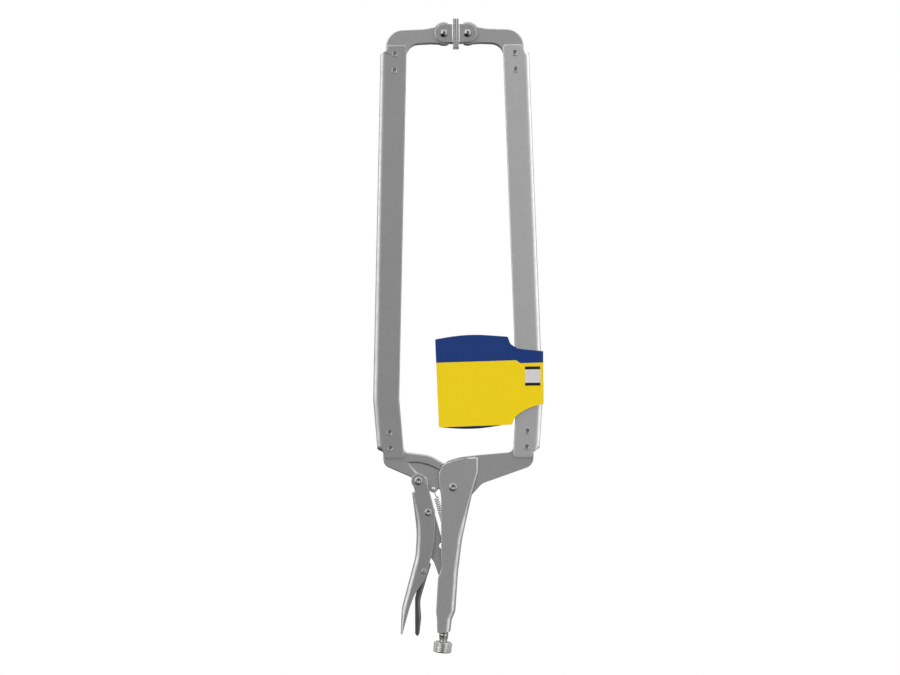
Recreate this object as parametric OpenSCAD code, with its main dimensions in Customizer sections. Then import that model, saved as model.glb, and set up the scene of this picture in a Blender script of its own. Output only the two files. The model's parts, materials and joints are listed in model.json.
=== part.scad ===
// Locking C clamp with deep, sheet-metal arms and swivelling pads.
// Frame: X across the throat, Y through the thickness, Z up. The origin is the
// clamping point, midway between the two pads on the line of the pad rivets.
// The handle end is drawn round the main pivot, and at_pivot() moves it into place.

/* [Throat] */
// Drop from the pad rivets to the main pivot
throat_drop = 434.6; // [380:0.2:600]
// Gap between the two pad faces with the clamp closed
pad_gap = 0.06; // [0.06:0.02:4]
// Distance from the middle of the frame to the outside of an arm, at its top
arm_top_x = 71.3; // [68:0.1:76]
// The same distance at the bend, where the arms stand widest apart
arm_bend_x = 81.3; // [78:0.1:84]
// The same distance at the arm's lower end
arm_foot_x = 77.6; // [76.4:0.1:78.6]
// How far the middle of the frame lies beside the pad faces
frame_offset = -1.2; // [-1.6:0.1:-0.8]

/* [Sheet metal] */
// Width of an arm channel, seen from the front
channel_w = 24.8; // [24:0.1:25.6]
// Thickness of an arm channel over its side plates
channel_t = 15; // [14.6:0.1:16]
// Sheet thickness of the arm channels
channel_sheet = 2; // [1.6:0.1:2]
// Thickness of the fixed handle over its side plates
handle_t = 14.2; // [13.8:0.1:15]
// Sheet thickness of the fixed handle
handle_sheet = 2.4; // [2:0.1:2.4]
// Thickness of the lever over its side plates
lever_t = 15.4; // [15:0.1:16.4]
// Sheet thickness of the lever
lever_sheet = 2; // [1.6:0.1:2]

/* [Forgings] */
// Thickness of the forged jaw arms and arm tips
forging_t = 11; // [10.6:0.1:11]
// Thickness of the movable arm's tongue between the handle plates
tongue_t = 9.2; // [8.6:0.1:9.2]
// Radius of the tongue's disc round the main pivot
tongue_r = 13; // [11:0.5:13]
// Thickness of the toggle link
link_t = 8.6; // [6:0.2:8.8]

/* [Pads] */
// Height of a pad's face plate
pad_h = 28; // [22:0.5:32]
// Sheet thickness of a pad
pad_sheet = 2.8; // [2:0.1:2.8]
// Distance from a pad's rivet to the clamping point
pad_reach = 11.3; // [11.2:0.1:12.5]
// Radius of a pad's ears round the rivet
ear_r = 8.8; // [7:0.1:9.5]

/* [Rivets and screw] */
// Diameter of the main pivot rivet, the lever's jaw rivet and the pad rivets
pin_d = 6; // [5:0.1:6.2]
// Diameter of the rivet between lever and toggle link
link_pin_d = 5.4; // [4.6:0.1:5.6]
// Diameter of the release lever's rivet
release_pin_d = 3.4; // [3:0.1:3.6]
// Diameter of the rivets that hold the channels
channel_pin_d = 4.4; // [3.6:0.1:4.8]
// Running clearance on the diameter of every pivot
running_fit = 0.1; // [0.06:0.02:0.16]
// Diameter of the adjusting screw over its thread
screw_d = 9.4; // [8:0.1:9.4]
// Diameter of the knurled knob
knob_d = 17.6; // [14:0.2:20]
// Height of the knurled knob
knob_h = 10.6; // [8:0.2:14]
// Tilt of the screw from upright
screw_tilt = 5.54; // [5.2:0.02:5.8]

/* [Spring and card] */
// Diameter of the spring's wire
wire_d = 1; // [0.8:0.1:1.2]
// Outside diameter of the spring's coil
coil_d = 4.8; // [4:0.1:5]
// Thickness of the card's board
card_sheet = 0.6; // [0.4:0.1:0.6]

/* [Hidden] */
$fn = 48;

main_pivot = [-6.7, -throat_drop];
// Pivots, measured from the main pivot
lever_pin = [-33, 6.3];
link_pin = [-24, -23.8];
link_foot = [-4.7, -84.7];
release_pin = [-28.6, -80.3];
spring_hole = [-18.7, -1];
spring_anchor = [-5.3, -51.1];

// Arm channel, with X measured from the middle of the frame
web_top = -19.6;
plate_top = -11.4;
bend_z = main_pivot[1] + 84.6;
web_foot = main_pivot[1] + 36.8;
plate_foot = main_pivot[1] + 28.4;
end_setback = 6.4;
end_fillet = 6.5;
plate_corner = 2.4;
rivet_rows = [[57.4, -19.4], [58, -35.3], [66, main_pivot[1] + 52.8], [65.3, main_pivot[1] + 37.7]];
socket_top_z = -44;
socket_foot_z = main_pivot[1] + 62;
socket_gap = 0.1;

// Forgings, a hair thinner than the channels' inner width where the sockets hold them
forged_t = forging_t - 0.02;
tip_disc_r = 11;
tip_nose = 6.9;
tip_swing = 18;
arm_depth = 3.2;
spring_hole_d = 3;

// Handle, knob and barrel, with depths measured along the screw from the link's foot
root_gap = 1;
handle_gap = handle_t - 2 * handle_sheet;
lever_gap = lever_t - 2 * lever_sheet;
web_start = -8;
barrel_top = 38;
knob_top = 64;
screw_tip = 11.2;
neck_d = 7.4;
neck_h = 2.4;
tab_t = 1.6;

release_t = 10.8;
release_sheet = 1.6;
pad_t = forging_t + 0.4 + 2 * pad_sheet;
big = 60;

// ---- Geometry helpers ----

function unit(v) = v / norm(v);
function turned(v, a) = [v[0] * cos(a) - v[1] * sin(a), v[0] * sin(a) + v[1] * cos(a)];
function xz(p) = [p[0], p[1]];

// Points of the arc of radius r that rounds the corner b between a and c
function corner_arc(a, b, c, r, steps = 6) =
    let (u = unit(a - b), v = unit(c - b), half = acos(u * v) / 2)
    let (centre = b + unit(u + v) * r / sin(half), start = b + u * r / tan(half) - centre)
    let (turn = -sign(u[0] * v[1] - u[1] * v[0]) * (180 - 2 * half))
    [for (i = [0:steps]) centre + turned(start, turn * i / steps)];

// Outline through corners [x, z, radius]; a radius of 0 leaves the corner sharp
function outline(corners) =
    let (n = len(corners))
    [for (i = [0:n - 1]) each corners[i][2] == 0
        ? [xz(corners[i])]
        : corner_arc(xz(corners[(i + n - 1) % n]), xz(corners[i]), xz(corners[(i + 1) % n]),
                     corners[i][2])];

// A shape drawn in X and Z, extruded through the thickness and centred on Y = 0
module slab(t) {
    rotate([90, 0, 0])
        linear_extrude(height = t, center = true)
            children();
}

module at_pivot() {
    translate([main_pivot[0], 0, main_pivot[1]])
        children();
}

// A round bar or bore along Y through the point p
module cross_pin(p, d, t) {
    translate([p[0], 0, p[1]])
        rotate([90, 0, 0])
            cylinder(d = d, h = t, center = true);
}

// Rivet through a stack of thickness t, with a low domed head on each side
module rivet(p, d, head_d, head_h, t) {
    cross_pin(p, d, t);
    for (side = [-1, 1])
        translate([p[0], side * t / 2, p[1]])
            rotate([-side * 90, 0, 0])
                rotate_extrude()
                    polygon([[0, 0], [head_d / 2, 0], [head_d / 2, head_h * 0.35],
                             [head_d * 0.43, head_h * 0.75], [head_d * 0.28, head_h],
                             [0, head_h]]);
}

// The fixed side is drawn to the right of the frame's middle, and mirrored for the movable side
module on_side(side) {
    translate([frame_offset, 0, 0])
        scale_mirror(side)
            children();
}

module scale_mirror(side) {
    if (side > 0)
        children();
    else
        mirror([1, 0, 0])
            children();
}

// ---- Arm channels ----

function arm_out(z) = z > bend_z
    ? arm_bend_x - (arm_bend_x - arm_top_x) * (z - bend_z) / (web_top - bend_z)
    : arm_bend_x - (arm_bend_x - arm_foot_x) * (bend_z - z) / (bend_z - web_foot);

// Line of the web, set in by the sheet thickness or not at all
function channel_web(inset) = [
    [arm_out(web_top) - inset, web_top, 0],
    [arm_bend_x - inset, bend_z, 0],
    [arm_out(web_foot) - inset, web_foot, 0]];

// Side view of a channel: the web stops short of both ends, in a concave fillet
function channel_outline() = outline(concat(
    [[arm_out(plate_top) - channel_w, plate_top, plate_corner],
     [arm_out(plate_top) - end_setback, plate_top, 0],
     [arm_out(plate_top) - end_setback, web_top, end_fillet]],
    channel_web(0),
    [[arm_out(plate_foot) - end_setback, web_foot, end_fillet],
     [arm_out(plate_foot) - end_setback, plate_foot, 0],
     [arm_out(plate_foot) - channel_w, plate_foot, plate_corner],
     [arm_bend_x - channel_w, bend_z, 0]]));

// Space between the side plates, open towards the throat and past both ends of the web
function channel_cavity() = outline(concat(
    [[0, plate_top + big, 0], [2 * big, plate_top + big, 0], [2 * big, web_top, 0]],
    channel_web(channel_sheet),
    [[2 * big, web_foot, 0], [2 * big, plate_foot - big, 0], [0, plate_foot - big, 0]]));

module arm_channel(side) {
    on_side(side)
        difference() {
            slab(channel_t)
                polygon(channel_outline());
            slab(channel_t - 2 * channel_sheet)
                polygon(channel_cavity());
        }
}

module channel_rivets(side) {
    on_side(side)
        for (p = rivet_rows)
            rivet(p, channel_pin_d, 5.9, 0.9, channel_t);
}

module channel_rivet_bores(side, t) {
    on_side(side)
        for (p = rivet_rows)
            cross_pin(p, channel_pin_d, t);
}

// ---- Arm tips ----

// Tip seen from the front, to the right of the pads, ending inside the channel's top
function tip_outline(side) =
    let (reach = arm_top_x + side * frame_offset)
    let (foot_x = arm_out(socket_top_z) + side * frame_offset)
    let (inside = channel_sheet + socket_gap)
    outline([
        [pad_reach - 2, 9.6, 0], [20, 6.2, 10], [30, 4.4, 30],
        [reach - 5.8, 3.2, 16], [reach - 5.2, web_top, 0],
        [reach - inside, web_top - 3, 0], [foot_x - inside, socket_top_z, 2],
        [foot_x - channel_w + 1.5, socket_top_z, 2], [reach - 24.5, web_top - 5, 4],
        [reach - 24.7, -10.4, 12], [24, -9.4, 20], [pad_reach - 2, -10.2, 0]]);

module arm_tip(side) {
    difference() {
        scale_mirror(side)
            difference() {
                union() {
                    cross_pin([pad_reach, 0], 2 * tip_disc_r, forged_t);
                    slab(forged_t)
                        polygon(tip_outline(side));
                }
                // Three flats across the nose leave the pad room to swivel
                for (a = [-tip_swing, 0, tip_swing])
                    slab(big)
                        translate([pad_reach, 0])
                            rotate(a)
                                translate([-big - tip_nose, -big / 2])
                                    square([big, big]);
            }
        cross_pin([side * pad_reach, 0], pin_d, big);
        channel_rivet_bores(side, big);
    }
}

// ---- Pads ----

module pad(side) {
    face = pad_gap / 2;
    plate_back = face + pad_sheet;
    scale_mirror(side)
        difference() {
            union() {
                translate([face, -pad_t / 2, -pad_h / 2])
                    cube([pad_sheet, pad_t, pad_h]);
                slab(pad_t) {
                    translate([pad_reach, 0])
                        circle(r = ear_r);
                    translate([plate_back - 0.5, -ear_r])
                        square([pad_reach - plate_back + 0.5, 2 * ear_r]);
                }
            }
            translate([plate_back, -forging_t / 2 - 0.2, -big / 2])
                cube([big, forging_t + 0.4, big]);
            cross_pin([pad_reach, 0], pin_d + running_fit, big);
        }
}

module pad_rivet(side) {
    rivet([side * pad_reach, 0], pin_d, 8.1, 2, pad_t + 0.2);
}

// ---- Fixed handle ----

// Outer contour on the web's side, from the top of the web down to the barrel
function handle_back(inset) = [[17.9 - inset, web_start, 0], [8.2 - inset, -50, 150],
    [4 - inset, -82, 150], [1.2 - inset, -119, 12]];

function handle_outline() = outline(concat(
    [[-10.4, 20.6, 2], [-4.9, 23.4, 6], [6, 26.9, 40], [24.6, 29.2, 2], [24.2, 13, 14]],
    handle_back(0),
    [[-2.4, -127, 5], [-3, -138.6, 2], [-16.4, -139.9, 2], [-16.6, -126, 3], [-17.4, -119.5, 3],
     [-15.4, -88.5, 4], [-11.6, -76, 4], [-12, -62, 10], [-11.6, -10, 30],
     [-13.8, 12, 8]]));

// Space between the side plates, open on the lever's side and above the web
function handle_cavity() = outline(concat(
    [[-big, big, 0], [big, big, 0], [big, web_start, 0]],
    handle_back(handle_sheet),
    [[-big, -119, 0]]));

module along_screw() {
    translate([link_foot[0], 0, link_foot[1]])
        rotate([0, screw_tilt, 0])
            children();
}

module fixed_handle() {
    color("#a3a3a3")
        at_pivot() {
            difference() {
                slab(handle_t)
                    polygon(handle_outline());
                slab(handle_gap)
                    polygon(handle_cavity());
                along_screw()
                    translate([0, 0, -big - barrel_top + 20])
                        cylinder(d = screw_d + 2 * running_fit, h = big);
                cross_pin([0, 0], pin_d, big);
            }
            spring_tab();
        }
}

// Bar between the side plates that the return spring hooks on
module spring_tab() {
    translate([spring_anchor[0], 0, spring_anchor[1] - 2.4])
        cube([3, handle_gap, tab_t], center = true);
}

// ---- Forged jaw arms ----

module fixed_jaw_arm() {
    foot = arm_out(web_foot) + frame_offset - main_pivot[0];
    socket_z = socket_foot_z - main_pivot[1];
    socket_x = arm_out(socket_foot_z) + frame_offset - main_pivot[0];
    inside = channel_sheet + socket_gap;
    color("#999999")
        difference() {
            at_pivot()
                difference() {
                    slab(forged_t)
                        polygon(outline([
                            [-7.4, 22.6, 1], [-4.2, 24.8, 4], [6, 28, 40], [24, 30, 20],
                            [foot - 24.9, 32.6, 6], [foot - 24.2, 44, 4],
                            [socket_x - channel_w + 1.5, socket_z, 2], [socket_x - inside, socket_z, 2],
                            [foot - inside, 38, 0], [foot - 5.8, 34.6, 0], [foot - 5.8, 20.2, 10],
                            [28, 3.2, 12], [17.6, web_start + 0.1, 0], [14.8, web_start, 0],
                            [9.8, -24, 3], [3, -24, 3],
                            [3, -8, 0]]));
                    cross_pin([0, 0], 2 * (tongue_r + root_gap), big);
                    // The root drops to the handle's inner width where the plates cover it
                    for (face = [-1, 1])
                        translate([0, face * (handle_gap / 2 + 5), 0])
                            slab(10)
                                polygon(handle_outline());
                }
            channel_rivet_bores(1, big);
        }
}

// Region of the movable arm's faces that is forged down to the tongue's thickness
function tongue_outline() = outline([
    [-43.4, 23.6, 0], [-33.5, 24.3, 24], [-22, 21.2, 30], [-12.6, 16.4, 0], [-10.9, 21.2, 0],
    [-7.5, 23.1, 0], [-4, 30, 0], [20, 30, 0],
    [20, -20, 0], [-25, -20, 0], [-25.2, 8.6, 3], [-35.5, 14, 12]]);

module movable_jaw_arm() {
    foot = -(arm_out(web_foot) - frame_offset + main_pivot[0]);
    socket_z = socket_foot_z - main_pivot[1];
    socket_x = -(arm_out(socket_foot_z) - frame_offset + main_pivot[0]);
    inside = channel_sheet + socket_gap;
    color("#9c9c9c")
        difference() {
            at_pivot()
                difference() {
                    union() {
                        slab(forged_t)
                            polygon(outline([
                                [foot + 24.9, 33.7, 5], [-22, 30.3, 26], [-8.2, 22.1, 0],
                                [-5.4, 11, 0], [0, 0, 0], [-12.6, -1.4, 0], [-19, -4.5, 0],
                                [-33, 0.3, 0], [-38.3, 8.6, 0], [-42.4, 10.8, 4],
                                [foot + 5.4, 21.5, 9], [foot + 5.4, 34.6, 0],
                                [foot + inside, 38, 0], [socket_x + inside, socket_z, 2],
                                [socket_x + channel_w - 1.5, socket_z, 2], [foot + 24.2, 44, 4]]));
                        cross_pin([0, 0], 2 * tongue_r, forged_t);
                        cross_pin(lever_pin, 12.8, forged_t);
                        cross_pin(spring_hole, 8.2, forged_t);
                    }
                    for (face = [-1, 1])
                        translate([0, face * (tongue_t / 2 + 5), 0])
                            slab(10)
                                polygon(tongue_outline());
                    cross_pin([0, 0], pin_d + running_fit, big);
                    cross_pin(lever_pin, pin_d + running_fit, big);
                    cross_pin(spring_hole, spring_hole_d, big);
                }
            channel_rivet_bores(-1, big);
        }
}

// ---- Lever, link and release lever ----

function lever_back(inset) = [[-39.2 + inset, -5.7, 0], [-35 + inset, -42, 100],
    [-36.6 + inset, -66, 60], [-50.3 + inset, -116, 50], [-51.5 + inset, -140.4, 0]];

function lever_outline() = outline(concat(
    lever_back(0),
    [[-49.8, -140.4, 0], [-42.5, -114.7, 60], [-37.5, -102, 20], [-26.9, -86.5, 3],
     [-18.9, -56, 80], [-17.3, -26, 14], [-24.2, 1, 10], [-26.6, 9, 4], [-33, 8, 0], [-38.6, 4, 0],
     [-36.4, -4.4, 1.5]]));

function lever_cavity() = outline(concat(
    lever_back(lever_sheet),
    [[0, -150, 0], [0, 30, 0], [-60, 30, 0], [-60, -5.7, 0]]));

module lever_handle() {
    color("#9a9a9a")
        at_pivot()
            difference() {
                slab(lever_t) {
                    polygon(lever_outline());
                    translate(lever_pin)
                        circle(r = 7);
                }
                slab(lever_gap)
                    polygon(lever_cavity());
                cross_pin(lever_pin, pin_d, big);
                cross_pin(link_pin, link_pin_d, big);
                cross_pin(release_pin, release_pin_d, big);
            }
}

module toggle_link() {
    color("#8f8f8f")
        at_pivot()
            difference() {
                union() {
                    cross_pin(link_pin, 12.8, link_t);
                    cross_pin(link_foot, 10.4, link_t);
                    slab(link_t)
                        polygon(outline([
                            [-30, -24, 0], [-18.1, -24.4, 0], [-11.3, -50.5, 8], [-11.3, -64, 10],
                            [-0.6, -81.9, 0], [-5.2, -89.4, 0], [-14.6, -84.5, 4], [-19.2, -71, 12],
                            [-24, -65.2, 4], [-30.2, -54, 8]]));
                }
                cross_pin([-10.2, -56.6], 7.6, big);
                cross_pin(link_pin, link_pin_d + running_fit, big);
            }
}

function release_front(inset) = [[-21.9 - inset, -74.5, 0], [-25.8 - inset, -86, 20],
    [-32.8 - inset, -109, 30], [-31.7 - inset, -126, 20], [-33.4 - inset, -139.5, 2]];

module release_lever() {
    color("#949494")
        at_pivot()
            difference() {
                slab(release_t) {
                    polygon(outline(concat(
                        release_front(0),
                        [[-35.4, -143.4, 1.2], [-37.6, -140, 1], [-37.4, -106, 8],
                         [-34.2, -94, 8], [-33.2, -76, 4], [-27, -72.4, 1.5], [-24.4, -70.4, 1]])));
                }
                slab(release_t - 2 * release_sheet)
                    polygon(outline(concat(
                        release_front(release_sheet),
                        [[-36, -150, 0], [-60, -150, 0], [-60, -60, 0], [-33, -60, 0],
                         [-26, -72.4, 0]])));
                cross_pin(release_pin, release_pin_d + running_fit, big);
            }
}

module main_pivot_rivet() {
    color("#b0b0b0")
        at_pivot()
            rivet([0, 0], pin_d, 7.8, 1.5, handle_t);
}

module lever_jaw_rivet() {
    color("#b0b0b0")
        at_pivot()
            rivet(lever_pin, pin_d, 7.9, 1.5, lever_t);
}

module lever_link_rivet() {
    color("#b0b0b0")
        at_pivot()
            rivet(link_pin, link_pin_d, 7.1, 1.4, lever_t);
}

module release_rivet() {
    color("#b0b0b0")
        at_pivot()
            rivet(release_pin, release_pin_d, 4.8, 0.9, lever_t);
}

// ---- Spring and screw ----

// Straight round bar from one point to another in the plane Y = 0
module bar(from, to, d) {
    run = to - from;
    translate([from[0], 0, from[1]])
        rotate([0, atan2(run[0], run[1]), 0])
            cylinder(d = d, h = norm(run));
}

module return_spring() {
    axis = unit(spring_anchor - spring_hole);
    coil_start = spring_hole + axis * 10;
    coil_end = spring_anchor - axis * 6;
    color("#7d7d7d")
        at_pivot() {
            bar(spring_hole + axis * 4.6, coil_start + axis, wire_d);
            bar(coil_start, coil_end, coil_d);
            bar(coil_end - axis, spring_anchor, wire_d);
        }
}

module adjusting_screw() {
    color("#8a8a8a")
        at_pivot()
            along_screw() {
                translate([0, 0, -knob_top + neck_h])
                    cylinder(d = screw_d, h = knob_top - neck_h - screw_tip - 2);
                translate([0, 0, -screw_tip - 2])
                    cylinder(d1 = screw_d, d2 = screw_d - 4, h = 2);
                translate([0, 0, -knob_top])
                    cylinder(d = neck_d, h = neck_h);
                translate([0, 0, -knob_top - knob_h])
                    cylinder(d1 = knob_d - 2, d2 = knob_d, h = 1);
                translate([0, 0, -knob_top - knob_h + 1])
                    cylinder(d = knob_d, h = knob_h - 2);
                translate([0, 0, -knob_top - 1])
                    cylinder(d1 = knob_d, d2 = knob_d - 2, h = 1);
            }
}

// ---- Card sleeve ----

// Plain board sleeve folded round the fixed arm, its two panels meeting at the free end
module hang_card() {
    foot_z = main_pivot[1] + 56;
    arm_face = arm_bend_x + frame_offset + 0.1 + card_sheet;
    side_y = channel_t / 2 + 1.3 + card_sheet;
    inner_y = side_y - card_sheet;
    color("#edce20")
        intersection() {
            slab(big)
                polygon(outline([
                    [-22.6, foot_z + 85.6, 1], [8, foot_z + 90.8, 160], [46.9, foot_z + 87.6, 1],
                    [49.5, foot_z + 80.5, 6], [56, foot_z + 76.2, 6], [63, foot_z + 75.2, 20],
                    [90, foot_z + 72.4, 0], [90, foot_z + 25.6, 0], [69, foot_z + 20.2, 30],
                    [57.4, foot_z + 14.6, 20], [52.2, foot_z + 9, 10], [50.3, foot_z + 3.4, 1],
                    [-19.8, foot_z + 1.2, 1]]));
            translate([0, 0, foot_z - big])
                linear_extrude(height = 4 * big)
                    polygon([[-30, -0.8], [46, -side_y], [arm_face, -side_y],
                             [arm_face, side_y], [46, side_y], [-30, 0.8], [-30, 0.1],
                             [46, inner_y], [arm_face - card_sheet, inner_y],
                             [arm_face - card_sheet, -inner_y], [46, -inner_y], [-30, -0.1]]);
        }
}

// ---- Named nodes of the two sides ----

module fixed_arm_channel() {
    color("#9e9e9e")
        difference() {
            arm_channel(1);
            channel_rivet_bores(1, big);
        }
}

module movable_arm_channel() {
    color("#9e9e9e")
        difference() {
            arm_channel(-1);
            channel_rivet_bores(-1, big);
        }
}

module fixed_arm_tip() {
    color("#9c9c9c")
        arm_tip(1);
}

module movable_arm_tip() {
    color("#9c9c9c")
        arm_tip(-1);
}

module fixed_channel_rivets() {
    color("#a8a8a8")
        channel_rivets(1);
}

module movable_channel_rivets() {
    color("#a8a8a8")
        channel_rivets(-1);
}

module fixed_pad() {
    color("#a6a6a6")
        pad(1);
}

module movable_pad() {
    color("#a6a6a6")
        pad(-1);
}

module fixed_pad_rivet() {
    color("#c0c0c0")
        pad_rivet(1);
}

module movable_pad_rivet() {
    color("#c0c0c0")
        pad_rivet(-1);
}

fixed_handle();
fixed_jaw_arm();
fixed_arm_channel();
fixed_arm_tip();
fixed_channel_rivets();
main_pivot_rivet();
fixed_pad_rivet();
fixed_pad();
movable_jaw_arm();
movable_arm_channel();
movable_arm_tip();
movable_channel_rivets();
movable_pad_rivet();
movable_pad();
lever_handle();
lever_jaw_rivet();
lever_link_rivet();
release_rivet();
release_lever();
toggle_link();
return_spring();
adjusting_screw();
hang_card();
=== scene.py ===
# %% [markdown]
# # Locking C clamp
# This clamp is pressed sheet steel and forgings, riveted together and plated. The CAD model
# already has every piece at its real size and place, so this lesson gives each piece what
# pressing, forging and turning leave behind: rolled bends, softened edges, rivet heads,
# a thread and a knurl, a wound spring, and the satin of plated steel.

# %% Load the CAD model
import json
import math

import bmesh
import bpy
from mathutils import Matrix, Vector


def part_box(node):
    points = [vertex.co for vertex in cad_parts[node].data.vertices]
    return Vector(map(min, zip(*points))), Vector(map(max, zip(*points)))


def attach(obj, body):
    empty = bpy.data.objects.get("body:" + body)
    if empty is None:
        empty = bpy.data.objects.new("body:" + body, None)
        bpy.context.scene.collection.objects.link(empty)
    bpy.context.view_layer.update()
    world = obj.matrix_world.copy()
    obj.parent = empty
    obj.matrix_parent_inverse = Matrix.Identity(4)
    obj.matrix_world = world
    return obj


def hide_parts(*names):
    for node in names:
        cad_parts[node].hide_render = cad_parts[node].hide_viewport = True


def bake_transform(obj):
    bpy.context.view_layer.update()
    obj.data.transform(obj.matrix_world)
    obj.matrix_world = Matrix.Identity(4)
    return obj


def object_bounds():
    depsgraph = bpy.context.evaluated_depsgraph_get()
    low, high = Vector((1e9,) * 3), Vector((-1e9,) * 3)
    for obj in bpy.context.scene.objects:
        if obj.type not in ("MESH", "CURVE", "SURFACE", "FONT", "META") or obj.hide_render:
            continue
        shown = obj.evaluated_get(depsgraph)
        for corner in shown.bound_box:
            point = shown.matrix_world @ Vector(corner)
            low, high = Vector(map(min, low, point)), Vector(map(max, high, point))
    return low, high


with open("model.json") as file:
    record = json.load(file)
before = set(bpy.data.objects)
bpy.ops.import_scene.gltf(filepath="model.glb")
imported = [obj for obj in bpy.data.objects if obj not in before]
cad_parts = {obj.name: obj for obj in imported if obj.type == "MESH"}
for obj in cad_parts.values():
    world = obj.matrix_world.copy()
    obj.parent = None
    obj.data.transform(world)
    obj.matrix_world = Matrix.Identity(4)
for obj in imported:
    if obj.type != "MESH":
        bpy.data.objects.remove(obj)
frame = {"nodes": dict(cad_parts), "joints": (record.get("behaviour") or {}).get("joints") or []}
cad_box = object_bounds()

MM = 0.001
scene = bpy.context.scene
joints = {joint["name"]: joint for joint in frame["joints"]}
print("the clamp is", [round((high - low) / MM) for low, high in zip(*cad_box)], "mm")

# %% [markdown]
# ## Camera and studio
# A long lens from straight in front keeps the long arms nearly parallel. The studio is a
# grey room with a bright panel on either side: flat faces mirror the grey behind the
# camera, and every rolled bend mirrors a side panel, which draws the bright lines that
# make sheet metal read as metal. Past each panel the wall keeps a faint glow. The left
# panel is the stronger one, and falls to nearly black below eye level. The right one is
# weaker, and keeps its glow lower down. The ceiling is brighter to the right, and the
# room darkens towards the ground. The floor is plain and pale, and reflections leave it
# out.

# %% Camera
LENS = 100
FIELD_WIDTH = 864 * MM
SENSOR_WIDTH = 36
CAMERA_DISTANCE = FIELD_WIDTH * LENS / SENSOR_WIDTH
VIEW_CENTRE = Vector((-8.3 * MM, 0, -291.3 * MM))
ROLL = math.radians(-0.53)

camera_data = bpy.data.cameras.new("camera")
camera_data.lens = LENS
camera_data.sensor_width = SENSOR_WIDTH
camera = bpy.data.objects.new("camera", camera_data)
camera.matrix_world = (Matrix.Translation(VIEW_CENTRE - Vector((0, CAMERA_DISTANCE, 0)))
                       @ Matrix.Rotation(math.radians(90), 4, "X")
                       @ Matrix.Rotation(ROLL, 4, "Z"))
scene.collection.objects.link(camera)
scene.camera = camera
scene.view_settings.view_transform = "Standard"
print("camera stands", round(CAMERA_DISTANCE, 2), "m away")

# %% Node helper and colours


def add(tree, kind, links=None, **settings):
    """Adds one node. links maps an input's name or number to a socket or a value."""
    made = tree.nodes.new(kind)
    for key, value in settings.items():
        setattr(made, key, value)
    for key, value in (links or {}).items():
        socket = made.inputs[key]
        if isinstance(value, bpy.types.NodeSocket):
            tree.links.new(value, socket)
        else:
            socket.default_value = value
    return made


def linear(code):
    """A linear RGBA colour from an sRGB hex value such as #8f8f8f."""
    channels = [int(code[i:i + 2], 16) / 255 for i in (1, 3, 5)]
    return [c / 12.92 if c < 0.04045 else ((c + 0.055) / 1.055) ** 2.4 for c in channels] + [1]


print("mid grey is", round(linear("#808080")[0], 3), "in linear light")

# %% Studio room
ROOM_GREY = 0.30
PANEL_GLOW = 2.25
CEILING_GLOW = 1.5
GROUND_SHARE = 0.25
PANEL_FROM, PANEL_TO = math.radians(30), math.radians(68)
PANEL_FADE = math.radians(11)
WALL_GLOW = 0.35
# Heights are the z of the direction looked in, from -1 straight down to 1 straight up
LEFT_DARK_Z, LEFT_FULL_Z, LEFT_LOW_SHARE, LEFT_SHARE = -0.2, -0.05, -0.12, 1.3
RIGHT_SHARE = 0.78
CEILING_FROM_Z, CEILING_FULL_Z, CEILING_LEFT_GLOW, CEILING_TURN_X = 0.4, 0.98, 0.5, 0.5
GROUND_DARK_Z, GROUND_FROM_Z = -0.75, -0.2

world = bpy.data.worlds.new("studio")
world.use_nodes = True
scene.world = world
room = world.node_tree
room.nodes.clear()
direction = add(room, "ShaderNodeTexCoord").outputs["Generated"]
axes = add(room, "ShaderNodeSeparateXYZ", {0: direction})
sideways = add(room, "ShaderNodeMath", {0: axes.outputs["X"]}, operation="ABSOLUTE")
forward = add(room, "ShaderNodeMath", {0: axes.outputs["Y"], 1: -1.0}, operation="MULTIPLY")
turn = add(room, "ShaderNodeMath", {0: sideways.outputs[0], 1: forward.outputs[0]},
           operation="ARCTAN2")
rise = add(room, "ShaderNodeMapRange", {"Value": turn.outputs[0], "From Min": PANEL_FROM
           - PANEL_FADE, "From Max": PANEL_FROM}, interpolation_type="SMOOTHSTEP")
fall = add(room, "ShaderNodeMapRange", {"Value": turn.outputs[0], "From Min": PANEL_TO,
           "From Max": PANEL_TO + PANEL_FADE, "To Min": PANEL_GLOW, "To Max": WALL_GLOW},
           interpolation_type="SMOOTHSTEP")
band = add(room, "ShaderNodeMath", {0: rise.outputs[0], 1: fall.outputs[0]},
           operation="MULTIPLY")
left_share = add(room, "ShaderNodeMapRange", {"Value": axes.outputs["Z"],
                 "From Min": LEFT_DARK_Z, "From Max": LEFT_FULL_Z, "To Min": LEFT_LOW_SHARE,
                 "To Max": LEFT_SHARE}).outputs[0]
on_right = add(room, "ShaderNodeMath", {0: axes.outputs["X"], 1: 0.0}, operation="GREATER_THAN")
share = add(room, "ShaderNodeMix", {"Factor": on_right.outputs[0], "A": left_share,
            "B": RIGHT_SHARE}, data_type="FLOAT")
panel = add(room, "ShaderNodeMath", {0: band.outputs[0], 1: share.outputs[0]},
            operation="MULTIPLY")
overhead = add(room, "ShaderNodeMapRange", {"Value": axes.outputs["X"],
               "From Min": -CEILING_TURN_X, "From Max": CEILING_TURN_X,
               "To Min": CEILING_LEFT_GLOW, "To Max": CEILING_GLOW})
ceiling = add(room, "ShaderNodeMapRange", {"Value": axes.outputs["Z"],
              "From Min": CEILING_FROM_Z, "From Max": CEILING_FULL_Z, "To Min": 0.0,
              "To Max": overhead.outputs[0]}, interpolation_type="SMOOTHSTEP")
glow = add(room, "ShaderNodeMath", {0: panel.outputs[0], 1: ceiling.outputs[0]}, operation="ADD")
lit = add(room, "ShaderNodeMath", {0: glow.outputs[0], 1: ROOM_GREY}, operation="ADD")
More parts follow.
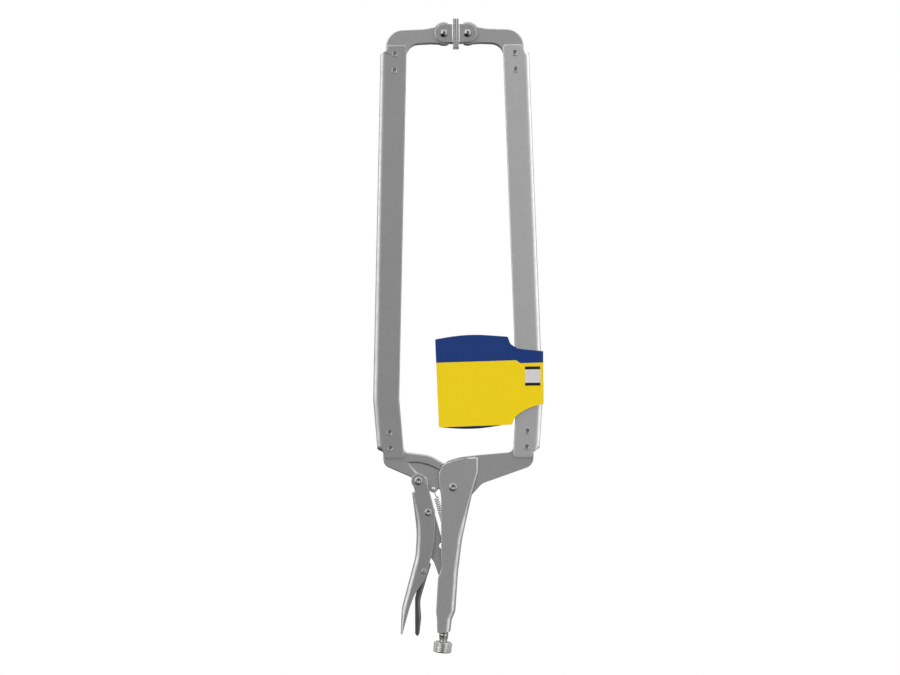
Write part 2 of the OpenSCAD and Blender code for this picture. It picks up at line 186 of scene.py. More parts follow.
ground = add(room, "ShaderNodeMapRange", {"Value": axes.outputs["Z"],
             "From Min": GROUND_DARK_Z, "From Max": GROUND_FROM_Z, "To Min": GROUND_SHARE,
             "To Max": 1.0}, interpolation_type="SMOOTHSTEP")
level = add(room, "ShaderNodeMath", {0: lit.outputs[0], 1: ground.outputs[0]},
            operation="MULTIPLY")
room_light = add(room, "ShaderNodeBackground", {"Strength": level.outputs[0]})
white = add(room, "ShaderNodeBackground", {"Color": (1, 1, 1, 1), "Strength": 1.0})
seen = add(room, "ShaderNodeLightPath").outputs["Is Camera Ray"]
mixed = add(room, "ShaderNodeMixShader", {0: seen, 1: room_light.outputs[0], 2: white.outputs[0]})
add(room, "ShaderNodeOutputWorld", {"Surface": mixed.outputs[0]})
print("panels span", round(math.degrees(PANEL_FROM)), "to", round(math.degrees(PANEL_TO)), "degrees")

# %% Key light


def softbox(name, place, aim, size, power):
    """An area light at place, facing aim."""
    data = bpy.data.lights.new(name, "AREA")
    data.shape = "RECTANGLE"
    data.size, data.size_y = size
    data.energy = power
    lamp = bpy.data.objects.new(name, data)
    turn = (Vector(aim) - Vector(place)).to_track_quat("-Z", "Y")
    lamp.matrix_world = Matrix.Translation(place) @ turn.to_matrix().to_4x4()
    scene.collection.objects.link(lamp)
    return lamp


KEY_PLACE, KEY_AIM, KEY_SIZE, KEY_WATTS = (1.6, -1.1, 0.5), (0, 0, -0.3), (0.7, 1.2), 1.6
key = softbox("key_softbox", KEY_PLACE, KEY_AIM, KEY_SIZE, KEY_WATTS)
print("key light is", round(key.location.length, 2), "m away")

# %% Floor
FLOOR_DROP = 60 * MM
floor_z = cad_box[0][2] - FLOOR_DROP
floor_mesh = bpy.data.meshes.new("floor")
floor_mesh.from_pydata([(x, y, floor_z) for x, y in ((-6, -6), (6, -6), (6, 6), (-6, 6))], [],
                       [(0, 1, 2, 3)])
floor = bpy.data.objects.new("floor", floor_mesh)
scene.collection.objects.link(floor)
floor.visible_glossy = False
floor.visible_diffuse = False
floor_paint = bpy.data.materials.new("pale_floor")
floor_paint.use_nodes = True
floor_paint.node_tree.nodes.clear()
pale = add(floor_paint.node_tree, "ShaderNodeEmission", {"Color": linear("#ffffff")})
add(floor_paint.node_tree, "ShaderNodeOutputMaterial", {"Surface": pale.outputs[0]})
floor_mesh.materials.append(floor_paint)
print("floor at", round(floor_z / MM), "mm")

# %% [markdown]
# ## Plated steel
# Every metal piece is steel with a thin plating of nickel over a surface that was pressed,
# forged or turned first. Satin plating is a metal with a middling roughness. What keeps it
# from looking like grey plastic is that its roughness and tone drift a little: in soft
# clouds a few millimetres wide, and in a speckle left by tumbling the parts with grit.
# The true speckle is finer than a picture of the whole clamp can show, so it is drawn
# about a millimetre wide.

# %% Plated steel material
CLOUD_SHARE, NOISE_LOW, NOISE_HIGH = 0.45, 0.35, 0.65
ROUGHNESS_DRIFT, BUMP_STRENGTH, BUMP_DEPTH = 0.05, 0.12, 0.02 * MM


def plated_steel(name, tone, roughness, speckle_mm=1.1, cloud_mm=9, grit=0.10, stretch=(1, 1, 1)):
    """Satin plated steel. tone is its colour, and stretch draws the speckle out as brushing."""
    material = bpy.data.materials.new(name)
    material.use_nodes = True
    tree = material.node_tree
    tree.nodes.clear()
    place = add(tree, "ShaderNodeTexCoord").outputs["Object"]
    drawn = add(tree, "ShaderNodeMapping", {"Vector": place, "Scale": stretch}).outputs[0]
    speckle = add(tree, "ShaderNodeTexNoise", {"Vector": drawn, "Scale": 1 / (speckle_mm * MM),
                  "Detail": 2.0, "Roughness": 0.6}).outputs[0]
    cloud = add(tree, "ShaderNodeTexNoise", {"Vector": place, "Scale": 1 / (cloud_mm * MM),
                "Detail": 3.0, "Roughness": 0.55}).outputs[0]
    both = add(tree, "ShaderNodeMix", {"Factor": CLOUD_SHARE, "A": speckle, "B": cloud},
               data_type="FLOAT")
    dark = [c * (1 - grit) for c in linear(tone)[:3]] + [1]
    light = [min(1, c * (1 + grit)) for c in linear(tone)[:3]] + [1]
    colour = add(tree, "ShaderNodeMapRange", {"Value": both.outputs[0], "From Min": NOISE_LOW,
                 "From Max": NOISE_HIGH})
    tint = add(tree, "ShaderNodeMix", {"Factor": colour.outputs[0], "A": dark, "B": light},
               data_type="RGBA")
    tinted = tint.outputs["Result"] if tint.outputs["Result"].enabled else tint.outputs[2]
    rough = add(tree, "ShaderNodeMapRange", {"Value": both.outputs[0], "From Min": NOISE_LOW,
                "From Max": NOISE_HIGH, "To Min": roughness + ROUGHNESS_DRIFT,
                "To Max": roughness - ROUGHNESS_DRIFT})
    bump = add(tree, "ShaderNodeBump", {"Height": speckle, "Strength": BUMP_STRENGTH,
               "Distance": BUMP_DEPTH})
    shader = add(tree, "ShaderNodeBsdfPrincipled", {"Base Color": tinted,
                 "Roughness": rough.outputs[0], "Metallic": 1.0, "Normal": bump.outputs[0]})
    add(tree, "ShaderNodeOutputMaterial", {"Surface": shader.outputs[0]})
    return material


# Pressed sheet is even and satin. The fixed channel is drawn a shade lighter than the other
# One plating in two tones: painted light on the fixed channel, painted shade on the movable one
channel_plating = {
    "fixed": plated_steel("satin_nickel_with_painted_light_on_fixed_channel", "#d8d8d8", 0.42),
    "movable": plated_steel("satin_nickel_with_painted_shade_on_movable_channel", "#bababa", 0.42),
}
handle_plating = plated_steel("satin_nickel_on_pressed_handle", "#c5c5c5", 0.42)
lever_plating = plated_steel("satin_nickel_on_pressed_lever", "#b8b8b8", 0.42)
# A forging's skin is rougher, so its speckle shows more
forging_plating = plated_steel("satin_nickel_on_forging", "#b9b9b9", 0.45, cloud_mm=6, grit=0.12)
link_plating = plated_steel("dull_plating_on_link", "#adadad", 0.5)
# Pads, rivets, screw and spring are smoother, and catch sharper highlights
pad_plating = plated_steel("bright_nickel_on_pad", "#d0d0d0", 0.34)
# Rivets and domes are toned darker than the rest as painted shade, which dims their reflections
rivet_plating_with_painted_shade = plated_steel("nickel_with_painted_shade_on_rivet", "#a4a4a4", 0.34, grit=0.06)
dome_plating_with_painted_shade = plated_steel("polished_nickel_with_painted_shade_on_dome", "#8e8e8e", 0.2, grit=0.04)
screw_plating = plated_steel("turned_and_plated_screw", "#b9b9b6", 0.34, grit=0.08)
spring_steel = plated_steel("drawn_spring_wire", "#a2a2a0", 0.32, grit=0.06)
# The release lever is toned the darkest of all, as painted shade for the shadow its face lies in
trigger_plating_with_painted_shade = plated_steel("plating_with_painted_shade_on_release_lever", "#6e6e6c", 0.4)
print(len(bpy.data.materials), "materials so far, with the floor's")

# %% [markdown]
# ## Pressed and forged pieces
# A press brake can't fold a sharp corner, so the channels and handles have round bends, and
# a forging leaves its die with small round edges. The CAD solids have their corners sharp.
# A copy of each solid is merged into clean faces, the edges where the web meets a side
# plate are marked with the bend's radius, and a bevel rolls them. The inside of each bend
# gets that radius less the sheet's thickness, so the sheet stays one thickness all the way
# round. Two things need care. Where a bend runs out into a corner, the corner's short
# facets are merged first, because a facet shorter than the bend would leave a spike. And a
# long bend takes its shading from its ends, so the channels and the handle are cut across
# at even heights, to keep an untidy end from darkening the whole length.

# %% Piece helpers
SHADE_ANGLE = math.radians(32)
FLAT_SIDE = 0.9997
RIM_SHARE = 0.42
INSIDE_FROM = 2.2
CUT_STEP = 12 * MM
MERGE_WITHIN, FLAT_WITHIN = 0.002 * MM, math.radians(0.6)
CUT_WITHIN = 0.001 * MM
BEND_SEGMENTS, EDGE_SEGMENTS, FORGED_ANGLE = 6, 3, math.radians(40)


def clean_copy(node):
    """A merged copy of a CAD node's mesh, with flat regions dissolved into whole faces."""
    body = bmesh.new()
    body.from_mesh(frame["nodes"][node].data)
    bmesh.ops.remove_doubles(body, verts=body.verts, dist=MERGE_WITHIN)
    bmesh.ops.dissolve_limit(body, angle_limit=FLAT_WITHIN, verts=body.verts,
                             edges=body.edges)
    return body


def finish_piece(piece, material, body, nodes):
    """Gives a finished mesh its material and body, and hides its CAD nodes."""
    piece.data.materials.clear()
    piece.data.materials.append(material)
    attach(piece, body)
    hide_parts(*nodes)
    return piece


def shaded(obj):
    """Shades smooth up to SHADE_ANGLE, except the flat sides that face front and back."""
    obj.data.shade_smooth()
    obj.data.set_sharp_from_angle(angle=SHADE_ANGLE)
    for face in obj.data.polygons:
        if abs(face.normal.y) > FLAT_SIDE:
            face.use_smooth = False
    return obj


def baked(obj):
    """The object with its modifiers turned into plain mesh, and shaded."""
    graph = bpy.context.evaluated_depsgraph_get()
    mesh = bpy.data.meshes.new_from_object(obj.evaluated_get(graph))
    obj.modifiers.clear()
    old = obj.data
    obj.data = mesh
    bpy.data.meshes.remove(old)
    return shaded(obj)


def new_object(name, mesh):
    """A new object for a mesh, at the origin."""
    obj = bpy.data.objects.new(name, mesh)
    scene.collection.objects.link(obj)
    return obj


def span_y(face):
    """How far a face reaches from front to back."""
    ys = [v.co.y for v in face.verts]
    return max(ys) - min(ys)


def ease_ends(body, corners, reach):
    """Merges the short facets of a corner's curve where a bend runs out into it.

    A bend is cut off along the facet beside its end. A facet shorter than the bend's radius
    would leave a spike there, so those within reach of the corners become one facet.
    """
    short = []
    for rim in body.edges:
        a, b = (vert.co for vert in rim.verts)
        across = abs(a.y - b.y) > 0.5 * MM and (a - b).xz.length < 0.01 * MM
        gaps = [(a - corner).xz.length for corner in corners]
        if across and min(gaps) < reach and min(gaps) > 0.05 * MM:
            short.append(rim)
    bmesh.ops.dissolve_edges(body, edges=short, use_verts=True)
    return len(short)


def cut_across(obj, step):
    """Cuts an object's mesh at even heights, so that long bends keep true normals."""
    body = bmesh.new()
    body.from_mesh(obj.data)
    bmesh.ops.triangulate(body, faces=body.faces)
    heights = [vert.co.z for vert in body.verts]
    for index in range(1, int((max(heights) - min(heights)) / step) + 1):
        geometry = body.verts[:] + body.edges[:] + body.faces[:]
        bmesh.ops.bisect_plane(body, geom=geometry, dist=CUT_WITHIN, plane_no=(0, 0, 1),
                               plane_co=(0, 0, min(heights) + index * step))
    body.to_mesh(obj.data)
    body.free()
    return shaded(obj)


def pressed(node, name, bend, sheet, edge, side, rim_x=None, taper=0):
    """A copy of a folded sheet node with rolled bends, and sheet edges softened by edge.

    The web faces side, 1 for right and -1 for left. A sheet edge to the right of rim_x is
    rounded further, as a drawn-over rim, and one that touches a bend stays sharp. With a
    taper, the bend fades out over the lowest taper metres, its inside stays square below
    INSIDE_FROM times that, and its ends are neither eased nor cut across.
    """
    low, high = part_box(node)
    thickness = high.y - low.y
    body = clean_copy(node)
    weight = body.edges.layers.float.new("bevel_weight_edge")
    outer, inner = thickness, thickness - 2 * sheet
    rolled, rims, softened = 0, [], []
    for rim in body.edges:
        if len(rim.link_faces) != 2:
            continue
        flat = [f for f in rim.link_faces if abs(f.normal.y) > 0.99]
        web = [f for f in rim.link_faces if abs(f.normal.y) < 0.01 and f.normal.z > -0.9]
        middle = (rim.verts[0].co + rim.verts[1].co) / 2
        fade = min(1, max(0.12, (middle.z - low.z) / taper)) if taper else 1
        if not (flat and web):
            continue
        width = span_y(web[0])
        at_outside = abs(abs(rim.verts[0].co.y) - outer / 2) < 0.01 * MM
        faces_side = web[0].normal.x * side
        if abs(width - outer) < 0.05 * MM and at_outside and faces_side > -0.1:
            rim[weight] = fade
            rolled += 1
        elif rim_x is not None and at_outside and min(v.co.x for v in rim.verts) > rim_x:
            rim[weight] = RIM_SHARE
            rolled += 1
        elif at_outside:
            rims.append(rim)
        elif abs(width - inner) < 0.05 * MM and not at_outside and (
                middle.z - low.z >= INSIDE_FROM * taper):
            rim[weight] = max(bend - sheet, 0.2 * MM) / bend
            rolled += 1
    for rim in rims:
        if all(other[weight] == 0 for vert in rim.verts for other in vert.link_edges):
            softened.append(rim)
    for rim in softened:
        rim[weight] = edge / bend
    ends = [vert.co.copy() for vert in body.verts
            if sum(other[weight] > 0.5 for other in vert.link_edges) == 1]
    eased = ease_ends(body, ends, bend) if ends and not taper else 0
    mesh = bpy.data.meshes.new(name)
    body.to_mesh(mesh)
    body.free()
    piece = new_object(name, mesh)
    roll = piece.modifiers.new("bend", "BEVEL")
    roll.limit_method = "WEIGHT"
    roll.width = bend
    roll.segments = BEND_SEGMENTS
    roll.use_clamp_overlap = False
    print(name, "has", rolled, "bend edges and", eased, "eased facets")
    return baked(piece) if taper else cut_across(baked(piece), CUT_STEP)


def forged(node, name, edge, clamp=False):
    """A copy of a forged node with softened edges. clamp keeps them off each other."""
    body = pad_body(node) if node.endswith("_pad") else clean_copy(node)
    mesh = bpy.data.meshes.new(name)
    body.to_mesh(mesh)
    body.free()
    piece = new_object(name, mesh)
    soften = piece.modifiers.new("edge", "BEVEL")
    soften.limit_method = "ANGLE"
    soften.angle_limit = FORGED_ANGLE
    soften.width = edge
    soften.use_clamp_overlap = clamp
    soften.segments = EDGE_SEGMENTS
    return baked(piece)


print("shading is smooth up to", round(math.degrees(SHADE_ANGLE)), "degrees")

# %% [markdown]
# ## Pads
# Each pad is a face plate with two ears that hold the end of the arm. The plate's face is
# relieved a little at its front and back rims, and is flat between them. The ears
# are set in from the plate, so that the plate's rim shows as a line of its own. A few
# straight cuts give the corners that have to move.

# %% Pad shape
PAD_CROWN, CROWN_DEPTH, EAR_STEP, EAR_SLOPE = 0.5 * MM, 1.8 * MM, 0.3 * MM, 0.5 * MM
PLATE_BACK = 2.9 * MM


def pad_body(node):
    """A pad with its face relieved towards the rims, and ears set in from its face plate."""
    low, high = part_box(node)
    side, half = (1 if high.x > -low.x else -1), high.y
    body = clean_copy(node)
    cuts = [((0, rim * (half - CROWN_DEPTH), 0), (0, 1, 0)) for rim in (-1, 1)]
    cuts += [((side * (PLATE_BACK + share * EAR_SLOPE), 0, 0), (1, 0, 0)) for share in (0, 1)]
    for place, normal in cuts:
        geometry = body.verts[:] + body.edges[:] + body.faces[:]
        bmesh.ops.bisect_plane(body, geom=geometry, plane_co=place, plane_no=normal,
                               dist=CUT_WITHIN)
    for vert in body.verts:
        x, y = abs(vert.co.x), abs(vert.co.y)
        if x < 0.1 * MM and y > half - CROWN_DEPTH + 0.1 * MM:
            vert.co.x += side * PAD_CROWN
        elif x > PLATE_BACK + 0.9 * EAR_SLOPE and y > half - 0.05 * MM:
            vert.co.y -= math.copysign(EAR_STEP, vert.co.y)
    return body


print("pads are crowned by", round(PAD_CROWN / MM, 1), "mm")

# %% Channels
CHANNEL_SHEET, CHANNEL_BEND = 2 * MM, 5.1 * MM
for side, body_name, faces in (("fixed", "fixed_frame", 1), ("movable", "movable_jaw", -1)):
    node_name = f"{side}_arm_channel"
    channel = pressed(node_name, f"{side}_channel", CHANNEL_BEND, CHANNEL_SHEET, 0.6 * MM,
                      faces)
    finish_piece(channel, channel_plating[side], body_name, [node_name])

# %% Handle, lever and release lever
HANDLE_RIM_X = 8 * MM
handle = pressed("fixed_handle", "handle", 4.6 * MM, 2.4 * MM, 0.5 * MM, 1, HANDLE_RIM_X)
finish_piece(handle, handle_plating, "fixed_frame", ["fixed_handle"])
lever = pressed("lever_handle", "lever", 4.3 * MM, 2.0 * MM, 0.45 * MM, -1, taper=28 * MM)
finish_piece(lever, lever_plating, "lever", ["lever_handle"])
trigger = pressed("release_lever", "trigger", 2.2 * MM, 1.6 * MM, 0, 1, taper=20 * MM)
finish_piece(trigger, trigger_plating_with_painted_shade, "release_lever", ["release_lever"])

# %% Forgings, link and pads
# The root of this arm runs out to a thin point between the handle's plates
ACUTE = ("fixed_jaw_arm",)
FORGED_PIECES = (
    ("fixed_jaw_arm", 0.9, forging_plating, "fixed_frame", "jaw_forging"),
    ("fixed_arm_tip", 0.9, forging_plating, "fixed_frame", "jaw_forging"),
    ("movable_jaw_arm", 0.85, forging_plating, "movable_jaw", "jaw_forging"),
    ("movable_arm_tip", 0.8, forging_plating, "movable_jaw", "jaw_forging"),
    ("toggle_link", 0.5, link_plating, "toggle_link", "link_steel"),
    ("fixed_pad", 0.3, pad_plating, "fixed_pad", "pad_sheet"),
    ("movable_pad", 0.3, pad_plating, "movable_pad", "pad_sheet"),
)
for node_name, edge_mm, plating, body_name, slot_name in FORGED_PIECES:
    piece = forged(node_name, f"{node_name}_forging", edge_mm * MM, node_name in ACUTE)
    finish_piece(piece, plating, body_name, [node_name])
    print(piece.name, "has", len(piece.data.polygons), "faces")

# %% [markdown]
# ## Turned shapes and repeated shapes
# A rivet, a screw and a knob are all turned: one outline carried round an axis. Where one
# small shape repeats, as rivets and knurl diamonds do, Geometry Nodes sets a copy on each
# point of a set and turns it to face the way the point says. A second node group winds a
# wire round a spiral, and serves for the thread and for the spring.

# %% Turning


def lathe(profile, segments):
    """A closed mesh turned about Z from (radius, height) pairs, from the bottom to the top.

    The first pair and the last one lie on the axis.
    """
    verts, rings, faces = [], [], []
    for radius, height in profile:
        ring = []
        for step in range(1 if radius == 0 else segments):
            angle = math.tau * step / segments
            ring.append(len(verts))
            verts.append((radius * math.cos(angle), radius * math.sin(angle), height))
        rings.append(ring)
    for low, high in zip(rings, rings[1:]):
        for step in range(segments):
            after = (step + 1) % segments
            if len(low) == 1:
                faces.append((low[0], high[after], high[step]))
            elif len(high) == 1:
                faces.append((low[step], low[after], high[0]))
            else:
                faces.append((low[step], low[after], high[after], high[step]))
    mesh = bpy.data.meshes.new("turned")
    mesh.from_pydata(verts, [], faces)
    return mesh


# %% Node group: a copy on each point


def node_tree(name, inputs):
    """A geometry node group with the named inputs. Returns it and its input node."""
    tree = bpy.data.node_groups.new(name, "GeometryNodeTree")
    tree.interface.new_socket("Geometry", in_out="INPUT", socket_type="NodeSocketGeometry")
    for label, kind in inputs:
        tree.interface.new_socket(label, in_out="INPUT", socket_type=kind)
    tree.interface.new_socket("Geometry", in_out="OUTPUT", socket_type="NodeSocketGeometry")
    return tree, add(tree, "NodeGroupInput")


def run_group(obj, tree, **values):
    """Runs a node group on an object with its inputs set, and turns the result into mesh."""
    step = obj.modifiers.new(tree.name, "NODES")
    step.node_group = tree
    for item in tree.interface.items_tree:
        if item.in_out == "INPUT" and item.name in values:
            step[item.identifier] = values[item.name]
    return baked(obj)


copier, given = node_tree("copy_on_each_point", [("Shape", "NodeSocketObject"),
                                                 ("Material", "NodeSocketMaterial")])
shape_in = add(copier, "GeometryNodeObjectInfo", {"Object": given.outputs["Shape"],
               "As Instance": True})
outward = add(copier, "GeometryNodeInputNamedAttribute", {"Name": "outward"},
              data_type="FLOAT_VECTOR").outputs["Attribute"]
along = add(copier, "GeometryNodeInputNamedAttribute", {"Name": "along"},
            data_type="FLOAT_VECTOR").outputs["Attribute"]
facing = add(copier, "FunctionNodeAxesToRotation", {0: outward, 1: along},
             primary_axis="Z", secondary_axis="X")
copied = add(copier, "GeometryNodeInstanceOnPoints", {"Points": given.outputs["Geometry"],
             "Instance": shape_in.outputs["Geometry"], "Rotation": facing.outputs[0]})
plain = add(copier, "GeometryNodeRealizeInstances", {0: copied.outputs[0]})
coated = add(copier, "GeometryNodeSetMaterial", {"Geometry": plain.outputs[0],
             "Material": given.outputs["Material"]})
add(copier, "NodeGroupOutput", {0: coated.outputs[0]})


def copies(name, shape_mesh, places, material):
    """Copies of a mesh, Z along each place's outward direction. Places: (point, outward, along)."""
    shape_obj = new_object(f"{name}_shape", shape_mesh)
    points = bpy.data.meshes.new(name)
    points.from_pydata([place[0] for place in places], [], [])
    for index, label in ((1, "outward"), (2, "along")):
        values = points.attributes.new(label, "FLOAT_VECTOR", "POINT")
        for item, place in zip(values.data, places):
            item.vector = place[index]
    made = run_group(new_object(name, points), copier, Shape=shape_obj, Material=material)
    bpy.data.objects.remove(shape_obj)
    return made


print(copier.name, "has", len(copier.nodes), "nodes")

# %% Node group: wire wound on a spiral
winder, asked = node_tree("wire_on_spiral", [
    ("Turns", "NodeSocketFloat"), ("Radius", "NodeSocketFloat"), ("Height", "NodeSocketFloat"),
    ("Wire", "NodeSocketFloat"), ("Sides", "NodeSocketInt"), ("Material", "NodeSocketMaterial")])
POINTS_PER_TURN = 28
spiral = add(winder, "GeometryNodeCurveSpiral", {"Resolution": POINTS_PER_TURN,
             "Rotations": asked.outputs["Turns"], "Start Radius": asked.outputs["Radius"],
             "End Radius": asked.outputs["Radius"], "Height": asked.outputs["Height"]})
section = add(winder, "GeometryNodeCurvePrimitiveCircle", {
              "Resolution": asked.outputs["Sides"], "Radius": asked.outputs["Wire"]})
swept = add(winder, "GeometryNodeCurveToMesh", {"Curve": spiral.outputs[0],
            "Profile Curve": section.outputs[0], "Fill Caps": True})
whole = add(winder, "GeometryNodeRealizeInstances", {0: swept.outputs[0]})
wound = add(winder, "GeometryNodeSetMaterial", {"Geometry": whole.outputs[0],
            "Material": asked.outputs["Material"]})
add(winder, "NodeGroupOutput", {0: wound.outputs[0]})


def coil(name, turns, radius, height, wire, sides, material):
    """A wire of the given radius and number of sides, wound upwards from the origin."""
    holder = new_object(name, bpy.data.meshes.new(name))
    return run_group(holder, winder, Turns=turns, Radius=radius, Height=height, Wire=wire,
                     Sides=sides, Material=material)


def joined(name, pieces, matrix):
    """One object made of several meshes' objects, moved by matrix. The pieces are removed."""
    body = bmesh.new()
    for part in pieces:
        body.from_mesh(part.data)
        bpy.data.objects.remove(part)
    body.transform(matrix)
    mesh = bpy.data.meshes.new(name)
    body.to_mesh(mesh)
    body.free()
    mesh.shade_smooth()
    mesh.set_sharp_from_angle(angle=SHADE_ANGLE)
    return new_object(name, mesh)


print(winder.name, "has", len(winder.nodes), "nodes")

# %% [markdown]
# ## Rivets
# Three kinds of head hold the clamp together. The pivots are upset with a pointed punch,
# which leaves a low head with a dimple. The pads' rivets have polished domes. The rivets
# through the channels are pressed almost flush. Each outline below gives the head from its
# middle to its rim, as shares of the head's radius and height.

# %% Rivet heads
DIMPLED = ((0, 0.35), (0.2, 0.4), (0.36, 0.92), (0.46, 1), (0.7, 0.96), (0.87, 0.74),
           (0.97, 0.4), (1, 0))
DOMED = ((0, 1), (0.2, 0.98), (0.4, 0.9), (0.6, 0.75), (0.78, 0.54), (0.92, 0.28), (1, 0))
PRESSED = ((0, 0.25), (0.62, 0.3), (0.78, 0.95), (0.87, 1), (0.96, 0.75), (1, 0))
RIVET_SIDES = 48
# CAD node: body, slot, outline, pin's diameter, head's height in CAD, head's height here
RIVETS = {
    "main_pivot_rivet": ("fixed_frame", "pivot_rivets", DIMPLED, 6, 1.5, 1.2),
    "lever_jaw_rivet": ("lever", "pivot_rivets", DIMPLED, 6, 1.5, 1.2),
    "lever_link_rivet": ("lever", "pivot_rivets", DIMPLED, 5.4, 1.4, 1.1),
    "release_rivet": ("lever", "pivot_rivets", DIMPLED, 3.4, 0.9, 0.6),
    "fixed_pad_rivet": ("fixed_frame", "pad_rivets", DOMED, 6, 2.34, 2.34),
    "movable_pad_rivet": ("movable_jaw", "pad_rivets", DOMED, 6, 2.34, 2.34),
    "fixed_channel_rivets": ("fixed_frame", "channel_rivets", PRESSED, 4.4, 0.9, 0.45),
    "movable_channel_rivets": ("movable_jaw", "channel_rivets", PRESSED, 4.4, 0.9, 0.45),
}


def loose_parts(node):
    """The low and high corners of each separate solid in a CAD node."""
    body = bmesh.new()
    body.from_mesh(frame["nodes"][node].data)
    bmesh.ops.remove_doubles(body, verts=body.verts, dist=MERGE_WITHIN)
    waiting, boxes = set(body.verts), []
    while waiting:
        reached, found = [waiting.pop()], []
        while reached:
            vert = reached.pop()
            found.append(vert.co.copy())
            for rim in vert.link_edges:
                other = rim.other_vert(vert)
                if other in waiting:
                    waiting.discard(other)
                    reached.append(other)
        boxes.append([Vector([pick(v[i] for v in found) for i in range(3)])
                      for pick in (min, max)])
    body.free()
    return boxes


def rivet_mesh(length, head_r, pin_r, outline, cad_head, head):
    """A rivet along Z with the same head at both ends."""
    seat = length / 2 - cad_head
    half = [(share * head_r, seat + lift * head) for share, lift in outline]
    shank = [(pin_r, -seat), (pin_r, seat)]
    return lathe([(r, -z) for r, z in half] + shank + half[::-1], RIVET_SIDES)


for node_name, (body_name, slot_name, outline, pin, cad_head, head) in RIVETS.items():
    boxes = loose_parts(node_name)
    low, high = boxes[0]
    shape = rivet_mesh(high.y - low.y, (high.x - low.x) / 2, pin / 2 * MM, outline,
                       cad_head * MM, head * MM)
    places = [((corner + top) / 2, (0, -1, 0), (0, 0, 1)) for corner, top in boxes]
    plating = dome_plating_with_painted_shade if outline is DOMED else rivet_plating_with_painted_shade
    rivets = copies(f"{node_name}_heads", shape, places, plating)
    finish_piece(rivets, plating, body_name, [node_name])
    print(node_name, len(places), "rivets")

# %% [markdown]
# ## Adjusting screw
# The screw is drawn upright with its tip upwards and the toggle link's foot at the origin,
# then tilted onto the axis that it slides along. Its thread stands on a core: sixteen turns
# to the inch. The knob is diamond knurled, with small pyramids in staggered rows.

# %% Screw, thread and knurl
LINK_FOOT = Vector((-11.4 * MM, 0, -519.3 * MM))
THREAD_PITCH = 25.4 / 16 * MM
SCREW_TIP, THREAD_END, KNOB_TOP, KNOB_FOOT = -11.2 * MM, -61.4 * MM, -64 * MM, -74.6 * MM
THREAD_R, CORE_R, NECK_R, KNOB_R = 4.68 * MM, 4.0 * MM, 3.7 * MM, 8.75 * MM
RIDGE = 0.55 * MM
KNURLS_ROUND, KNURL_STEP, KNURL_H = 44, 0.63 * MM, 0.34 * MM
CHAMFER, FACE_EASE, FACE_LIP, TIP_EASE = 1.1 * MM, 1.6 * MM, 0.2 * MM, 1.5 * MM
SCREW_SIDES, RIDGE_SIDES, WIRE_SIDES = 64, 4, 10

axis = Vector(joints["screw_travel"]["axis"]).normalized()
axis = -axis if axis.z < 0 else axis
onto_axis = Matrix.Translation(LINK_FOOT) @ Vector((0, 0, 1)).rotation_difference(
    axis).to_matrix().to_4x4()
grip_r = KNOB_R - KNURL_H
core = new_object("screw_core", lathe([
    (0, KNOB_FOOT), (grip_r - FACE_EASE, KNOB_FOOT), (grip_r - CHAMFER, KNOB_FOOT + FACE_LIP),
    (grip_r, KNOB_FOOT + CHAMFER), (grip_r, KNOB_TOP - CHAMFER),
    (grip_r - CHAMFER, KNOB_TOP - FACE_LIP), (grip_r - FACE_EASE, KNOB_TOP),
    (NECK_R, KNOB_TOP), (NECK_R, THREAD_END - 0.5 * MM), (CORE_R, THREAD_END),
    (CORE_R, SCREW_TIP - TIP_EASE), (CORE_R - TIP_EASE, SCREW_TIP), (0, SCREW_TIP)],
    SCREW_SIDES))
turns = int((SCREW_TIP - 2.5 * MM - THREAD_END) / THREAD_PITCH)
thread = coil("thread", turns, THREAD_R - RIDGE, turns * THREAD_PITCH, RIDGE, RIDGE_SIDES,
              screw_plating)
thread.data.transform(Matrix.Translation((0, 0, THREAD_END + 0.6 * MM)))
diamond = lathe([(0, -0.1 * MM), (0.86 * KNURL_STEP, -0.1 * MM), (0, KNURL_H)], 4)
rows = int((KNOB_TOP - KNOB_FOOT - 2 * CHAMFER) / KNURL_STEP)
places = []
for row in range(rows + 1):
    z = KNOB_FOOT + CHAMFER + row * KNURL_STEP
    for index in range(KNURLS_ROUND):
        angle = math.tau * (index + 0.5 * (row % 2)) / KNURLS_ROUND
        out = Vector((math.cos(angle), math.sin(angle), 0))
        places.append((out * grip_r + Vector((0, 0, z)), out, (0, 0, 1)))
knurl = copies("knurl", diamond, places, screw_plating)
screw = joined("adjusting_screw_turned", [core, thread, knurl], onto_axis)
finish_piece(screw, screw_plating, "adjusting_screw", ["adjusting_screw"])
print("thread has", turns, "turns, knurl has", len(places), "diamonds")

# %% [markdown]
# ## Return spring
# The spring runs from a tab inside the handle to a hole in the movable jaw, and opens the
# jaw when the toggle is released. Its coil is wound by the same node group as the thread.
# The upper hook comes forward over the jaw's face and goes into the hole.

# %% Spring
SPRING_HOLE = Vector((-25.4 * MM, 0, -435.6 * MM))
SPRING_ANCHOR = Vector((-12.0 * MM, 0, -485.7 * MM))
WIRE_R, COIL_R, COIL_TURNS = 0.38 * MM, 2.0 * MM, 17
FACE_Y = -5.2 * MM


def wire(name, points, radius):
    """A smooth round wire through the points."""
    data = bpy.data.curves.new(name, "CURVE")
    data.dimensions = "3D"
    data.bevel_depth = radius
    data.bevel_resolution = 3
    data.resolution_u = 10
    data.use_fill_caps = True
    run = data.splines.new("NURBS")
    run.points.add(len(points) - 1)
    for point, place in zip(run.points, points):
        point.co = (*place, 1)
    run.order_u = 3
    run.use_endpoint_u = True
    bent = bpy.data.objects.new(name, data)
    scene.collection.objects.link(bent)
    graph = bpy.context.evaluated_depsgraph_get()
    mesh = bpy.data.meshes.new_from_object(bent.evaluated_get(graph))
    bpy.data.objects.remove(bent)
    return new_object(name, mesh)


